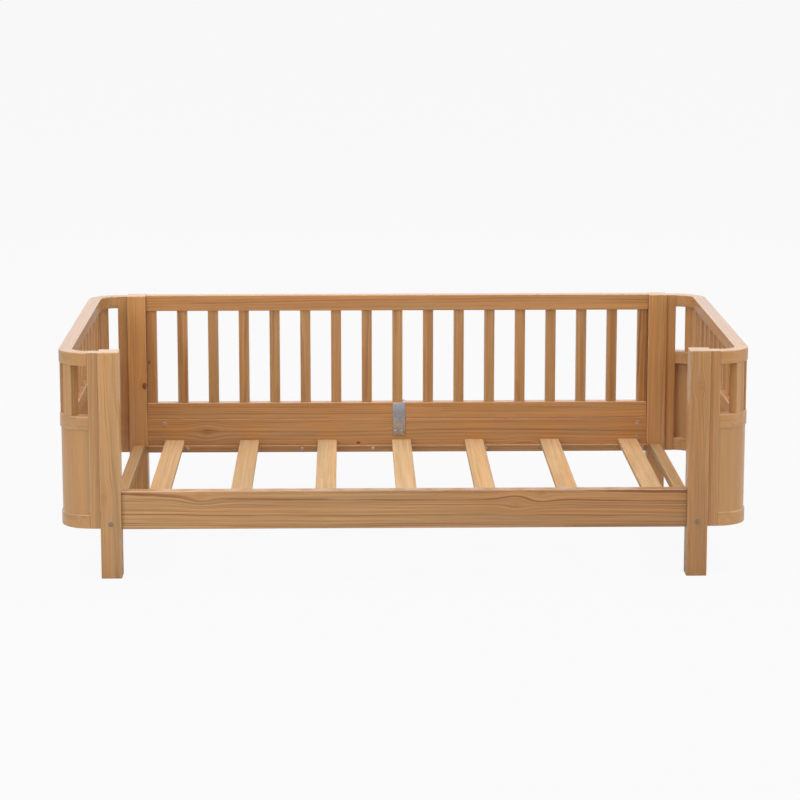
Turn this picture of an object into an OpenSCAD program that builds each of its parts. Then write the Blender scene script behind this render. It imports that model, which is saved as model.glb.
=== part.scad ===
// Child's junior bed in solid pine for a mattress of 150 x 80 cm: four posts,
// two side rails with a slatted base, two rounded end units and a balustered
// back guard. Origin on the floor under the middle of the bed, X along its
// length, the open side facing -Y, Z up. Millimetres.

/* [Overall] */
// Length over the outer faces of the posts
post_span = 1380; // [1100:5:1700]
// Depth over the outer faces of the posts
bed_depth = 900; // [700:5:1100]
// Height of the posts and of the back guard
post_h = 522; // [460:1:640]

/* [Posts] */
// Side of the square posts
post_w = 47; // [40:1:60]
// Chamfer along the edges of every board
edge = 2; // [1:0.5:3]

/* [Side rails] */
// Height of the rails' lower edge above the floor
rail_z = 113; // [80:1:160]
// Height of a side rail
rail_h = 88; // [74:1:120]
// Thickness of the side rails and guard rails
rail_t = 27; // [23:1:34]

/* [Slatted base] */
// Distance from a post to the middle of the first slat
slat_margin = 63.5; // [52:0.5:90]
// Width of a slat
slat_w = 49; // [40:1:60]
// Thickness of a slat
slat_t = 12; // [10:1:15]
// How far each slat lies from its even place
slat_shift = [6, 5, 12, 10, 4, 6, 15]; // [-16:1:16]
// Room between a slat's end and the side rail
slat_gap = 1.5; // [0.5:0.5:3]
// Width of the ledgers that carry the slats
ledger_w = 16; // [14:1:26]
// Height of the ledgers
ledger_h = 18; // [15:1:26]
// Height of the ledgers' lower edge above the side rails' lower edge
ledger_lift = 3; // [0:1:10]
// Width of the end battens
batten_w = 28; // [24:1:36]
// Height of the end battens
batten_h = 21; // [18:1:30]

/* [End units] */
// Width of the stile beside each post
stile_w = 24; // [20:1:32]
// Outer radius of the rounded corners
corner_r = 70; // [60:1:110]
// Thickness of the end units' rails and stiles
end_t = 31; // [29:1:36]
// How far the end units stand back from the posts' outer faces
end_recess = 8.5; // [4:0.5:14]
// How far the end units' lower edge is above the side rails' lower edge
end_lift = 2; // [0:1:20]
// How far the end units' upper edge is below the tops of the posts
end_drop = 2; // [0:1:20]
// Height of the upper rails
top_rail_h = 30; // [26:1:45]
// Height of the middle rails' lower edge above the floor
mid_rail_z = 342; // [280:1:380]
// Height of the middle rails
mid_rail_h = 32; // [26:1:45]
// Height of the lower rails
low_rail_h = 32; // [26:1:45]
// Thickness of the lower panels
panel_t = 11; // [8:1:14]
// How far the panels stand back from the rails' outer face
panel_recess = 2.5; // [2.5:0.5:8]
// How far a panel's edge goes into its groove
panel_edge = 7; // [4:1:9]
// Number of staves on the straight side of an end
stave_n = 10; // [4:1:12]
// Width of a stave
stave_w = 26; // [22:1:34]
// Thickness of a stave
stave_t = 23; // [16:1:25]
// How far the staves stand back from the rails' outer face
stave_recess = 1; // [0.5:0.5:3]

/* [Back guard] */
// Height of the guard's lower rail
guard_low_h = 42; // [36:1:56]
// Height of the guard's upper rail
guard_top_h = 40; // [36:1:56]
// Number of balusters
baluster_n = 15; // [8:1:17]
// Width of a baluster and of the guard's end stiles
baluster_w = 26; // [22:1:32]
// Thickness of a baluster
baluster_t = 19; // [15:1:22]
// Room between the guard and each post
guard_gap = 0.5; // [0.2:0.1:1]

/* [Joinery] */
// Length of the tenons on balusters and staves
tenon_l = 10; // [6:1:12]
// Width of the tenons
tenon_w = 16; // [12:1:18]
// Thickness of the tenons
tenon_t = 9; // [8:1:12]
// Clearance all round tenons, panel edges and dowels
wood_fit = 0.2; // [0.1:0.05:0.4]
// Clearance all round bolts, pins and barrels
metal_fit = 0.25; // [0.15:0.05:0.5]
// Diameter of the wooden dowels in the guard's ends
dowel_d = 8; // [6:1:10]
// Length of the wooden dowels
dowel_l = 34; // [24:1:44]

/* [Hardware] */
// Diameter of the lock barrels
barrel_d = 12; // [10:1:14]
// Height of the lower pins above the rail's lower edge
pin_low = 36; // [32:1:40]
// Distance of the upper pins below the rail's upper edge
pin_top = 14; // [10:1:18]
// Distance from the left post to the barrels
lock_left = 43; // [20:1:60]
// Distance from the right post to the barrels
lock_right = 23; // [20:1:60]
// Diameter of the joint pins and of the batten bolts
bolt_d = 6; // [5:0.5:7]
// Depth of the joint pins in the post
pin_depth = 26; // [20:1:34]
// Diameter of the batten bolts' heads
head_d = 11; // [10:0.5:14]
// Height of the batten bolts' heads
head_h = 4; // [3:0.5:5]
// How far the bolt heads stand out of the post
head_out = 1.5; // [0.5:0.5:2]
// Width across the flats of the key socket in the bolt heads
socket_w = 4; // [3:0.5:5]
// Distance of the batten bolts below the battens' upper side
bolt_drop = 7; // [6:1:9]
// Length of a batten bolt in the batten
bolt_reach = 40; // [34:1:60]
// Diameter of the nuts in the battens
nut_d = 10; // [9:0.5:12]
// How far the nuts reach above the bolts' axis
nut_rise = 5; // [4.5:0.5:5]
// Diameter of the screws' heads
screw_head = 9; // [7:0.5:10]
// Height of the screws' heads
screw_head_h = 2.5; // [2:0.5:3]
// Diameter of the screws' shanks
screw_d = 4; // [3:0.5:5]
// How deep the screws go into the side rails
screw_reach = 15; // [10:1:18]
// How deep the screws go into the slats
slat_screw_reach = 7; // [5:1:9]
// Thickness of the steel bracket
plate_t = 2.5; // [1.5:0.5:3]
// Width of the steel bracket
plate_w = 32; // [30:1:44]
// Distance of the bracket's middle from the middle of the bed
plate_x = 4; // [2:0.5:8]
// Room between the slats' upper side and the bracket
plate_rise = 10; // [4:1:20]
// Length of the bracket's hook behind the guard
plate_lip = 12; // [8:1:20]
// Height of the bracket's screws above its lower end
plate_screw = 11; // [8:1:14]

/* [Hidden] */
$fn = 48;
e = 0.01;
slat_n = 7;

post_cx = post_span / 2 - post_w / 2;
post_cy = bed_depth / 2 - post_w / 2;
post_in_x = post_span / 2 - post_w;
post_in_y = bed_depth / 2 - post_w;

rail_len = 2 * post_in_x;
rail_in_y = post_cy - rail_t / 2;
rail_top = rail_z + rail_h;

ledger_z = rail_z + ledger_lift;
ledger_top = ledger_z + ledger_h;
slat_top = ledger_top + slat_t;
slat_len = 2 * (rail_in_y - slat_gap);
slat_pitch = (rail_len - 2 * slat_margin) / (slat_n - 1);
batten_z = ledger_top - batten_h;
bolt_z = ledger_top - bolt_drop;
nut_h = bolt_z - batten_z + nut_rise;
nut_y = post_in_y - bolt_reach + nut_d / 2;

corner_x = post_span / 2 + stile_w;
corner_y = bed_depth / 2 - end_recess - corner_r;
end_z = rail_z + end_lift;
end_top = post_h - end_drop;
low_rail_top = end_z + low_rail_h;
mid_rail_top = mid_rail_z + mid_rail_h;
top_rail_z = end_top - top_rail_h;
panel_r = corner_r - panel_recess;
panel_z = low_rail_top - panel_edge;
panel_h = mid_rail_z - low_rail_top + 2 * panel_edge;
stave_r = corner_r - stave_recess - stave_t / 2;
stave_h = top_rail_z - mid_rail_top;
stave_pitch = (2 * corner_y - stave_w) / (stave_n - 1);

guard_len = rail_len - 2 * guard_gap;
guard_low_top = rail_top + guard_low_h;
guard_high = post_h - guard_top_h;
baluster_pitch = (guard_len - baluster_w) / (baluster_n + 1);

bore = bolt_d + 2 * metal_fit;
barrel_l = rail_t / 2 + bolt_d;
pin_z = [rail_z + pin_low, rail_top - pin_top];
plate_z = slat_top + plate_rise;

// Each ledger screw is near a slat: the slat, counted from 0, and the way from its middle
ledger_screw_at = [[0, 33], [2, -65], [3, -73], [4, 31], [6, 38]];

pine = "burlywood";
pine_dark = "peru";
steel = "lightslategray";

// A rectangle a by b about its middle, with chamfered corners
module chamfered(a, b) {
    x = a / 2;
    y = b / 2;
    polygon([[x - edge, -y], [x, -y + edge], [x, y - edge], [x - edge, y],
             [-x + edge, y], [-x, y - edge], [-x, -y + edge], [-x + edge, -y]]);
}

// Boards about their middle, with chamfers along the grain
module board_z(x, y, z) {
    linear_extrude(z, center = true) chamfered(x, y);
}

module board_x(x, y, z) {
    rotate([0, 90, 0]) board_z(z, y, x);
}

module board_y(x, y, z) {
    rotate([90, 0, 0]) board_z(x, z, y);
}

// A cylinder of length l along X or Y that starts at the origin
module rod_x(d, l) {
    rotate([0, 90, 0]) cylinder(d = d, h = l);
}

module rod_y(d, l) {
    rotate([-90, 0, 0]) cylinder(d = d, h = l);
}

// Draws its children at the left (side = -1) or right (side = 1) end
module at_end(side) {
    if (side < 0) mirror([1, 0, 0]) children();
    else children();
}

// Draws its children, made for the back edge, at the front (row = -1) or back (row = 1)
module at_row(row) {
    if (row < 0) mirror([0, 1, 0]) children();
    else children();
}

// ---- Posts, side rails and slatted base ----

// Holes in a post for the joint pins, its batten bolt and a guard dowel
module post_holes(row) {
    for (z = pin_z) {
        translate([post_in_x - e, post_cy, z]) rod_x(bolt_d, pin_depth);
    }
    translate([post_cx, post_in_y - e, bolt_z]) rod_y(bore, post_w + 2 * e);
    translate([post_cx, bed_depth / 2 - head_h + head_out, bolt_z]) {
        rod_y(head_d + 2 * metal_fit, head_h);
    }
    if (row > 0) {
        guard_dowel_pair(dowel_d + 2 * wood_fit, dowel_l + 2);
    }
}

module post(side, row) {
    color(pine) at_end(side) at_row(row) difference() {
        translate([post_cx, post_cy, post_h / 2]) board_z(post_w, post_w, post_h);
        post_holes(row);
    }
}

// Distance of the barrels from the rail's middle at each end
function lock_x(side) = post_in_x - (side < 0 ? lock_left : lock_right);

module side_rail(row) {
    color(pine) at_row(row) difference() {
        translate([0, post_cy, rail_z + rail_h / 2]) board_x(rail_len, rail_t, rail_h);
        for (side = [-1, 1], z = pin_z) at_end(side) {
            translate([lock_x(side), post_cy, z]) rod_x(bore, post_in_x);
            translate([lock_x(side), rail_in_y - e, z]) {
                rod_y(barrel_d + 2 * metal_fit, barrel_l + metal_fit);
            }
        }
        ledger_screw_holes();
        if (row > 0) bracket_screw_holes();
    }
}

module ledger(row) {
    color(pine_dark) at_row(row) difference() {
        translate([0, rail_in_y - ledger_w / 2, ledger_z + ledger_h / 2]) {
            board_x(rail_len, ledger_w, ledger_h);
        }
        ledger_screw_holes();
        for (i = [0 : slat_n - 1]) slat_screw(slat_x(i));
    }
}

module batten(side) {
    color(pine) at_end(side) difference() {
        translate([post_cx, 0, batten_z + batten_h / 2]) {
            board_y(batten_w, 2 * post_in_y, batten_h);
        }
        for (row = [-1, 1]) at_row(row) {
            translate([post_cx, post_in_y - bolt_reach - 1, bolt_z]) rod_y(bore, bolt_reach + 2);
            translate([post_cx, nut_y, batten_z - e]) {
                cylinder(d = nut_d + 2 * metal_fit, h = nut_h + metal_fit);
            }
        }
    }
}

function slat_x(i) = (i - (slat_n - 1) / 2) * slat_pitch + slat_shift[i];

module slat(i) {
    color(pine) difference() {
        translate([slat_x(i), 0, ledger_top + slat_t / 2]) board_y(slat_w, slat_len, slat_t);
        for (row = [-1, 1]) at_row(row) slat_screw(slat_x(i));
    }
}

// ---- Back guard ----

// Tenon at both ends of a slip of wood of height h that stands on z
module tenons(z, h, grow) {
    translate([0, 0, z + h / 2]) {
        cube([tenon_w + 2 * grow, tenon_t + 2 * grow, h + 2 * tenon_l + 2 * grow], center = true);
    }
}

function baluster_x(i) = -guard_len / 2 + baluster_w / 2 + i * baluster_pitch;

module guard_slip(i) {
    h = guard_high - guard_low_top;
    translate([baluster_x(i), post_cy, 0]) {
        translate([0, 0, guard_low_top + h / 2]) board_z(baluster_w, baluster_t, h);
        tenons(guard_low_top, h, 0);
    }
}

module guard_mortises() {
    for (i = [0 : baluster_n + 1]) {
        translate([baluster_x(i), post_cy, 0]) {
            tenons(guard_low_top, guard_high - guard_low_top, wood_fit);
        }
    }
}

// The dowels between one end of the guard and its post
module guard_dowel_pair(d, l) {
    for (z = [rail_top + guard_low_h / 2, guard_high + guard_top_h / 2]) {
        translate([post_in_x - l / 2, post_cy, z]) rod_x(d, l);
    }
}

module guard_rail(z, h) {
    color(pine) difference() {
        translate([0, post_cy, z + h / 2]) board_x(guard_len, rail_t, h);
        guard_mortises();
        for (side = [-1, 1]) {
            at_end(side) guard_dowel_pair(dowel_d + 2 * wood_fit, dowel_l + 2);
        }
    }
}

module guard_stiles() {
    color(pine_dark) for (i = [0, baluster_n + 1]) guard_slip(i);
}

module guard_balusters() {
    color(pine_dark) for (i = [1 : baluster_n]) guard_slip(i);
}

module guard_dowels() {
    color("wheat") for (side = [-1, 1]) at_end(side) guard_dowel_pair(dowel_d, dowel_l);
}

// Bent strip that holds the guard down on the back rail. Its leg is screwed to
// the rail, and a tab beside the middle baluster hooks over the guard's rail.
module guard_bracket() {
    right = plate_x + plate_w / 2;
    tab_x = baluster_w / 2 + 2 * metal_fit;
    color(steel) difference() {
        union() {
            translate([right - plate_w, rail_in_y - plate_t, plate_z]) {
                cube([plate_w, plate_t, guard_low_top - plate_z + plate_t]);
            }
            translate([tab_x, rail_in_y - plate_t, guard_low_top]) {
                cube([right - tab_x, rail_t + 2 * plate_t, plate_t]);
            }
            translate([tab_x, rail_in_y + rail_t, guard_low_top - plate_lip]) {
                cube([right - tab_x, plate_t, plate_lip + e]);
            }
        }
        bracket_screw_holes();
    }
}

// ---- End units, all drawn for the right end and its back corner ----

module stile(side, row) {
    stile_y = corner_y + corner_r - end_t / 2;
    color(pine) at_end(side) at_row(row) difference() {
        translate([corner_x - stile_w / 2, stile_y, (end_z + end_top) / 2]) {
            board_z(stile_w, end_t, end_top - end_z);
        }
        panel_tongue(wood_fit);
    }
}

// A straight stretch of an end rail, from the front corner to the back one
module end_rail(side, z, h) {
    color(pine) at_end(side) difference() {
        translate([corner_x + corner_r - end_t / 2, 0, z + h / 2]) {
            board_y(end_t, 2 * corner_y, h);
        }
        side_panel_body(wood_fit);
        side_stave_tenons(wood_fit);
    }
}

// A quarter ring of an end rail round one corner
module end_corner(side, row, z, h) {
    color(pine_dark) at_end(side) at_row(row) difference() {
        translate([corner_x, corner_y, z + h / 2]) {
            rotate_extrude(angle = 90) translate([corner_r - end_t / 2, 0]) chamfered(end_t, h);
        }
        corner_panel_body(wood_fit);
        corner_stave_tenons(wood_fit);
    }
}

// The edge of the corner panel that goes into the stile, or its groove
module panel_tongue(grow) {
    translate([corner_x - panel_edge - grow, corner_y + panel_r - panel_t - grow, panel_z - grow]) {
        cube([panel_edge + 2 * grow, panel_t + 2 * grow, panel_h + 2 * grow]);
    }
}

module corner_panel_body(grow) {
    translate([corner_x, corner_y, panel_z - grow]) {
        rotate_extrude(angle = 90) translate([panel_r - panel_t - grow, 0]) {
            square([panel_t + 2 * grow, panel_h + 2 * grow]);
        }
    }
}

module side_panel_body(grow) {
    translate([corner_x + panel_r - panel_t - grow, -corner_y - grow, panel_z - grow]) {
        cube([panel_t + 2 * grow, 2 * corner_y + 2 * grow, panel_h + 2 * grow]);
    }
}

module corner_panels(side) {
    color(pine) for (row = [-1, 1]) at_end(side) at_row(row) {
        corner_panel_body(0);
        panel_tongue(0);
    }
}

module side_panel(side) {
    color(pine) at_end(side) side_panel_body(0);
}

// Places of the staves: along the straight side, and one in the middle of each corner
module at_side_staves() {
    for (i = [0 : stave_n - 1]) {
        translate([corner_x + stave_r, -corner_y + stave_w / 2 + i * stave_pitch, 0]) {
            rotate(90) children();
        }
    }
}

module at_corner_stave() {
    translate([corner_x, corner_y, 0]) rotate(-45) translate([0, stave_r, 0]) children();
}

module stave() {
    translate([0, 0, mid_rail_top + stave_h / 2]) board_z(stave_w, stave_t, stave_h);
    tenons(mid_rail_top, stave_h, 0);
}

module side_stave_tenons(grow) {
    at_side_staves() tenons(mid_rail_top, stave_h, grow);
}

module corner_stave_tenons(grow) {
    at_corner_stave() tenons(mid_rail_top, stave_h, grow);
}

module side_staves(side) {
    color(pine_dark) at_end(side) at_side_staves() stave();
}

module corner_staves(side) {
    color(pine_dark) for (row = [-1, 1]) at_end(side) at_row(row) at_corner_stave() stave();
}

// ---- Hardware ----

module joint_pins() {
    color(steel) for (row = [-1, 1], side = [-1, 1], z = pin_z) at_row(row) at_end(side) {
        translate([lock_x(side), post_cy, z]) {
            rod_x(bolt_d, post_in_x - lock_x(side) + pin_depth - 1);
        }
    }
}

module lock_barrels() {
    color(steel) for (row = [-1, 1], side = [-1, 1], z = pin_z) at_row(row) at_end(side) {
        translate([lock_x(side), rail_in_y, z]) difference() {
            rod_y(barrel_d, barrel_l);
            translate([-metal_fit, post_cy - rail_in_y, 0]) rod_x(bore, barrel_d);
            translate([0, -e, 0]) rod_y(barrel_d / 3, 2);
        }
    }
}

module batten_bolts() {
    color(steel) for (side = [-1, 1], row = [-1, 1]) at_end(side) at_row(row) {
        translate([post_cx, bed_depth / 2 + head_out - head_h, bolt_z]) difference() {
            rod_y(head_d, head_h);
            translate([0, head_h / 2, 0]) rotate([-90, 0, 0]) {
                cylinder(d = socket_w / cos(30), h = head_h, $fn = 6);
            }
        }
        translate([post_cx, post_in_y - bolt_reach, bolt_z]) {
            rod_y(bolt_d, bolt_reach + post_w + head_out - head_h + e);
        }
    }
}

module batten_nuts() {
    color(steel) for (side = [-1, 1], row = [-1, 1]) at_end(side) at_row(row) difference() {
        translate([post_cx, nut_y, batten_z]) cylinder(d = nut_d, h = nut_h);
        translate([post_cx, nut_y - nut_d, bolt_z]) rod_y(bore, 2 * nut_d);
    }
}

// A screw along Y into the back rail, its head against the face at y
module face_screw(x, y, z, l) {
    translate([x, y - screw_head_h, z]) rod_y(screw_head, screw_head_h);
    translate([x, y - e, z]) rod_y(screw_d, l);
}

function ledger_screw_x(at) = slat_x(at[0]) + at[1];

module ledger_screw_holes() {
    for (at = ledger_screw_at) {
        translate([ledger_screw_x(at), rail_in_y - ledger_w - e, ledger_z + ledger_h / 2]) {
            rod_y(screw_d, ledger_w + screw_reach + 1);
        }
    }
}

module ledger_screws() {
    color(steel) for (row = [-1, 1], at = ledger_screw_at) at_row(row) {
        face_screw(ledger_screw_x(at), rail_in_y - ledger_w, ledger_z + ledger_h / 2,
                   ledger_w + screw_reach);
    }
}

// A screw from below through the back ledger into a slat, its head let into the ledger
module slat_screw(x) {
    translate([x, rail_in_y - ledger_w / 2, ledger_z]) {
        cylinder(d = screw_head, h = screw_head_h);
        cylinder(d = screw_d, h = ledger_h + slat_screw_reach);
    }
}

module slat_screws() {
    color(steel) for (row = [-1, 1], i = [0 : slat_n - 1]) at_row(row) slat_screw(slat_x(i));
}

module bracket_screw_holes() {
    for (side = [-1, 1]) {
        translate([plate_x + side * plate_w / 4, rail_in_y - plate_t - e, plate_z + plate_screw]) {
            rod_y(screw_d, plate_t + screw_reach + 1);
        }
    }
}

module bracket_screws() {
    color(steel) for (side = [-1, 1]) {
        face_screw(plate_x + side * plate_w / 4, rail_in_y - plate_t, plate_z + plate_screw,
                   plate_t + screw_reach);
    }
}

post(-1, -1);  // front_left_post
post(1, -1);  // front_right_post
post(-1, 1);  // back_left_post
post(1, 1);  // back_right_post
side_rail(-1);  // front_rail
side_rail(1);  // back_rail
ledger(-1);  // front_ledger
ledger(1);  // back_ledger
batten(-1);  // left_batten
batten(1);  // right_batten
slat(0);  // slat_1
slat(1);  // slat_2
slat(2);  // slat_3
slat(3);  // slat_4
slat(4);  // slat_5
slat(5);  // slat_6
slat(6);  // slat_7
guard_rail(guard_high, guard_top_h);  // guard_top_rail
guard_rail(rail_top, guard_low_h);  // guard_bottom_rail
guard_stiles();
guard_balusters();
guard_dowels();
guard_bracket();
stile(-1, -1);  // left_front_stile
stile(-1, 1);  // left_back_stile
end_rail(-1, top_rail_z, top_rail_h);  // left_top_rail
end_corner(-1, -1, top_rail_z, top_rail_h);  // left_front_top_corner
end_corner(-1, 1, top_rail_z, top_rail_h);  // left_back_top_corner
end_rail(-1, mid_rail_z, mid_rail_h);  // left_mid_rail
end_corner(-1, -1, mid_rail_z, mid_rail_h);  // left_front_mid_corner
end_corner(-1, 1, mid_rail_z, mid_rail_h);  // left_back_mid_corner
end_rail(-1, end_z, low_rail_h);  // left_low_rail
end_corner(-1, -1, end_z, low_rail_h);  // left_front_low_corner
end_corner(-1, 1, end_z, low_rail_h);  // left_back_low_corner
side_staves(-1);  // left_side_staves
corner_staves(-1);  // left_corner_staves
side_panel(-1);  // left_side_panel
corner_panels(-1);  // left_corner_panels
stile(1, -1);  // right_front_stile
stile(1, 1);  // right_back_stile
end_rail(1, top_rail_z, top_rail_h);  // right_top_rail
end_corner(1, -1, top_rail_z, top_rail_h);  // right_front_top_corner
end_corner(1, 1, top_rail_z, top_rail_h);  // right_back_top_corner
end_rail(1, mid_rail_z, mid_rail_h);  // right_mid_rail
end_corner(1, -1, mid_rail_z, mid_rail_h);  // right_front_mid_corner
end_corner(1, 1, mid_rail_z, mid_rail_h);  // right_back_mid_corner
end_rail(1, end_z, low_rail_h);  // right_low_rail
end_corner(1, -1, end_z, low_rail_h);  // right_front_low_corner
end_corner(1, 1, end_z, low_rail_h);  // right_back_low_corner
side_staves(1);  // right_side_staves
corner_staves(1);  // right_corner_staves
side_panel(1);  // right_side_panel
corner_panels(1);  // right_corner_panels
joint_pins();
lock_barrels();
batten_bolts();
batten_nuts();
ledger_screws();
slat_screws();
bracket_screws();
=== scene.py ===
import math

import bpy
import numpy as np
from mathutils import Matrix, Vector


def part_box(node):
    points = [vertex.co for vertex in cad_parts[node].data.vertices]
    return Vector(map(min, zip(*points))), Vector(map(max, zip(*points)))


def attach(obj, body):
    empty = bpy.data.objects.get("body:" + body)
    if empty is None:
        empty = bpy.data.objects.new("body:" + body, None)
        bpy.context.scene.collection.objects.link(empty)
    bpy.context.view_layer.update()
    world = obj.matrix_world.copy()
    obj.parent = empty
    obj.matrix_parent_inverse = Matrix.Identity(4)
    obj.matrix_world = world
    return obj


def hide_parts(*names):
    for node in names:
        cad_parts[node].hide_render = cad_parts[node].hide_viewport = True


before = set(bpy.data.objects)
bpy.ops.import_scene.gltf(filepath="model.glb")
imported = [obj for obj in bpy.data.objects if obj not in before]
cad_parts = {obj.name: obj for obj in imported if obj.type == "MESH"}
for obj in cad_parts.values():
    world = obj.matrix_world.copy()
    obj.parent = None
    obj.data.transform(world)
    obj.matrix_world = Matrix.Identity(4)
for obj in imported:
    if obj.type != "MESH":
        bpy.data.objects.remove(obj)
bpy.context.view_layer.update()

print("frame loaded:", len(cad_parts), "parts")

quarter = math.pi / 2
alongX, alongY, alongZ = 0, 1, 2
up = np.array([0.0, 0.0, 1.0])


def corners(node):
    low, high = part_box(node)
    return np.array(low), np.array(high)


# Node helpers. Inputs are given by name or number, and a socket given as a value becomes a link.
def put(tree, kind, inputs=None, **settings):
    node = tree.nodes.new(kind)
    for key, value in settings.items():
        setattr(node, key, value)
    for key, value in (inputs or {}).items():
        if isinstance(value, bpy.types.NodeSocket):
            tree.links.new(value, node.inputs[key])
        else:
            node.inputs[key].default_value = value
    return node


def calc(tree, operation, *terms, clamp=False):
    node = put(tree, "ShaderNodeMath", dict(enumerate(terms)), operation=operation, use_clamp=clamp)
    return node.outputs[0]


def plus(tree, first, second, clamp=False):
    return calc(tree, "ADD", first, second, clamp=clamp)


def times(tree, first, second, clamp=False):
    return calc(tree, "MULTIPLY", first, second, clamp=clamp)


def vector(tree, operation, *terms):
    node = put(tree, "ShaderNodeVectorMath", dict(enumerate(terms)), operation=operation)
    return node.outputs["Value" if operation == "LENGTH" else "Vector"]


def scaled(tree, source, factor):
    node = put(tree, "ShaderNodeVectorMath", {"Vector": source, "Scale": factor}, operation="SCALE")
    return node.outputs["Vector"]


def split(tree, source):
    return put(tree, "ShaderNodeSeparateXYZ", {0: source}).outputs


def join(tree, *parts):
    return put(tree, "ShaderNodeCombineXYZ", dict(enumerate(parts))).outputs[0]


def blend(tree, factor, first, second, mode="MIX"):
    node = put(tree, "ShaderNodeMix", {0: factor, 6: first, 7: second}, data_type="RGBA", blend_type=mode)
    return node.outputs[2]


def darkened(tree, colour, by):
    return blend(tree, 1.0, colour, by, "MULTIPLY")


# Carries a value from one range of numbers to another and holds it at both ends.
def spread(tree, value, low, high, newLow, newHigh, smooth=True):
    limits = dict(enumerate((value, low, high, newLow, newHigh)))
    kind = "SMOOTHSTEP" if smooth else "LINEAR"
    return put(tree, "ShaderNodeMapRange", limits, interpolation_type=kind).outputs["Result"]


def noise(tree, place, stretch, detail=2.0, roughness=0.5, output="Fac"):
    stretched = vector(tree, "MULTIPLY", place, stretch)
    inputs = {"Vector": stretched, "Scale": 1.0, "Detail": detail, "Roughness": roughness}
    return put(tree, "ShaderNodeTexNoise", inputs).outputs[output]


def newGroup(name, inputs, outputs):
    group = bpy.data.node_groups.new(name, "ShaderNodeTree")
    for label, kind in inputs.items():
        group.interface.new_socket(name=label, in_out="INPUT", socket_type="NodeSocket" + kind)
    for label, kind in outputs.items():
        group.interface.new_socket(name=label, in_out="OUTPUT", socket_type="NodeSocket" + kind)
    return group, group.nodes.new("NodeGroupInput").outputs, group.nodes.new("NodeGroupOutput").inputs


def useGroup(tree, group, inputs):
    return put(tree, "ShaderNodeGroup", inputs, node_tree=group).outputs


def newMaterial(name):
    material = bpy.data.materials.new(name)
    material.use_nodes = True
    return material, material.node_tree, material.node_tree.nodes["Principled BSDF"]


# Round a branch the growth rings part and close again: the place across the grain is drawn towards
# the knot's line, most at the knot and less with distance. Mask is 1 inside the knot. A knot with a
# negative radius lies below the face: it bends the rings and leaves only a soft stain.
knotShape = {
    "body": (0.7, 1.0, 0.0), "swirl": (0.24, 0.42, 0.0),  # how quickly they fade along and across
    "pull": 0.92, "rim": (0.7, 1.05), "buried": 0.9, "leastRadius": 0.00002,
    "rings": 16.0, "ringTint": 0.35, "halo": (1.0, 2.4), "haloTint": 0.6,
}


def makeKnotBend():
    group, given, result = newGroup(
        "knotBend", {"Grain": "Vector", "Knot": "Vector"},
        {"Grain": "Vector", "Mask": "Float", "Distance": "Float"})
    grain = split(group, given["Grain"])
    knot = split(group, given["Knot"])
    radius = calc(group, "MAXIMUM", calc(group, "ABSOLUTE", knot[2]), knotShape["leastRadius"])
    shown = calc(group, "GREATER_THAN", knot[2], 0.0)
    lengthwise = calc(group, "DIVIDE", calc(group, "SUBTRACT", grain[0], knot[0]), radius)
    sideways = calc(group, "DIVIDE", calc(group, "SUBTRACT", grain[1], knot[1]), radius)
    away = join(group, lengthwise, sideways)
    distance = vector(group, "LENGTH", vector(group, "MULTIPLY", away, knotShape["body"]))
    reach = vector(group, "LENGTH", vector(group, "MULTIPLY", away, knotShape["swirl"]))
    pull = calc(group, "EXPONENT", times(group, calc(group, "POWER", reach, 2.0), -1.0))
    kept = calc(group, "SUBTRACT", 1.0, times(group, pull, knotShape["pull"]))
    across = plus(group, knot[1], times(group, times(group, sideways, radius), kept))
    group.links.new(join(group, grain[0], across, grain[2]), result["Grain"])
    mask = times(group, spread(group, distance, *knotShape["rim"], 1.0, 0.0), shown)
    group.links.new(mask, result["Mask"])
    buried = times(group, calc(group, "SUBTRACT", 1.0, shown), knotShape["buried"])
    group.links.new(plus(group, distance, buried), result["Distance"])
    return group


# Noise in the log: how fine it is along and across the grain, its detail and its roughness.
grainNoise = {
    "sway": (1.3, 7.0, 1.0, 0.4), "ripple": (9.0, 45.0, 2.0, 0.5), "fade": (6.0, 70.0, 2.0, 0.5),
    "fibre": (14.0, 1100.0, 2.0, 0.6), "streak": (2.6, 210.0, 3.0, 0.6), "cloud": (2.4, 11.0, 2.0, 0.5),
    "pore": (60.0, 900.0, 1.0, 0.5), "band": (1.1, 48.0, 1.0, 0.4),
}
rippleDepth = 0.0022
unevenYears = {"fineness": (120.0, 120.0, 120.0), "amount": 3.0}


def laidNoise(tree, grain, name, output="Fac"):
    along, across, detail, roughness = grainNoise[name]
    return noise(tree, grain, (along, across, across), detail, roughness, output)


def centred(tree, grain, name):
    return vector(tree, "SUBTRACT", laidNoise(tree, grain, name, "Color"), (0.5, 0.5, 0.5))


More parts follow.
